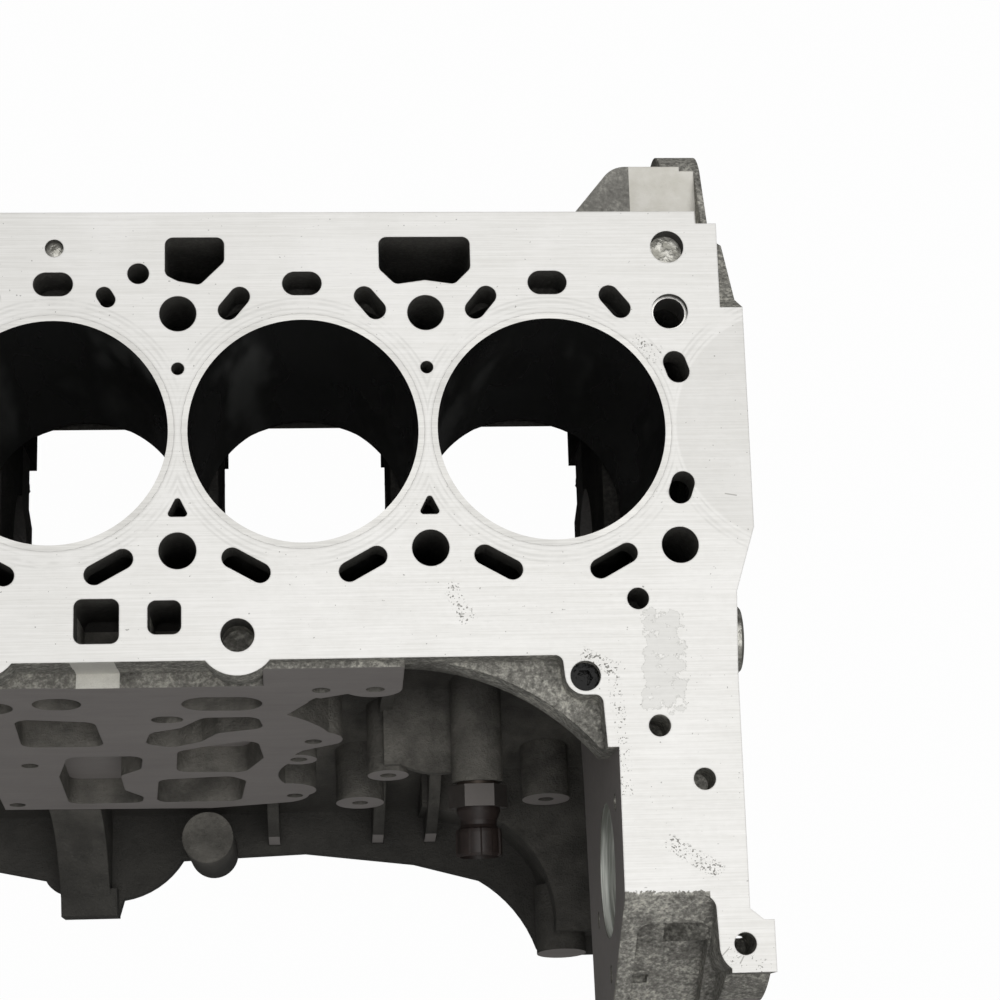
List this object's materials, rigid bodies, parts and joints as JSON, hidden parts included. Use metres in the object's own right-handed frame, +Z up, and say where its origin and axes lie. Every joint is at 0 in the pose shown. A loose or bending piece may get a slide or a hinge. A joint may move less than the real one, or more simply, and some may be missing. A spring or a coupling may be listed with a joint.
{
  "type": "engine block",
  "caption": "Bare in-line engine block: closed deck, pressed liners, bolted bearing caps, a leaning face for an oil module and an arm with a pump register.",
  "frame": {"origin": "crankshaft axis at the middle main bearing", "axes": "+X along the crankshaft towards the gearbox face, +Y towards the plain side, away from the oil-module face, +Z up, square to the deck"},
  "size_m": [0.4185, 0.3637, 0.288],
  "materials": {
    "casting": "cast, machined on its joint faces",
    "liner_iron": "honed, oiled",
    "cap_iron": "sand cast",
    "bolt_steel": "phosphated",
    "plug_steel": "plain steel",
    "dowel_steel": "ground",
    "switch_metal": "zinc plated, dull",
    "seal_metal": "annealed",
    "connector_plastic": "moulded"
  },
  "bodies": {
    "root": {"core_plug_1": "plug_steel", "core_plug_2": "plug_steel", "core_plug_3": "plug_steel", "core_plug_4": "plug_steel", "cylinder_block": "casting", "cylinder_liner_1": "liner_iron", "cylinder_liner_2": "liner_iron", "cylinder_liner_3": "liner_iron", "cylinder_liner_4": "liner_iron", "deck_screw_plug": "plug_steel", "gallery_end_plug": "plug_steel", "gearbox_dowel_1": "dowel_steel", "gearbox_dowel_2": "dowel_steel", "head_dowel_1": "dowel_steel", "head_dowel_2": "dowel_steel", "large_deck_plug": "plug_steel", "main_bearing_cap_1": "cap_iron", "main_bearing_cap_2": "cap_iron", "main_bearing_cap_3": "cap_iron", "main_bearing_cap_4": "cap_iron", "main_bearing_cap_5": "cap_iron", "main_cap_bolts": "bolt_steel", "oil_switch_body": "switch_metal", "oil_switch_connector": "connector_plastic", "oil_switch_seal": "seal_metal", "small_deck_plug": "plug_steel"}
  },
  "joints": []
}
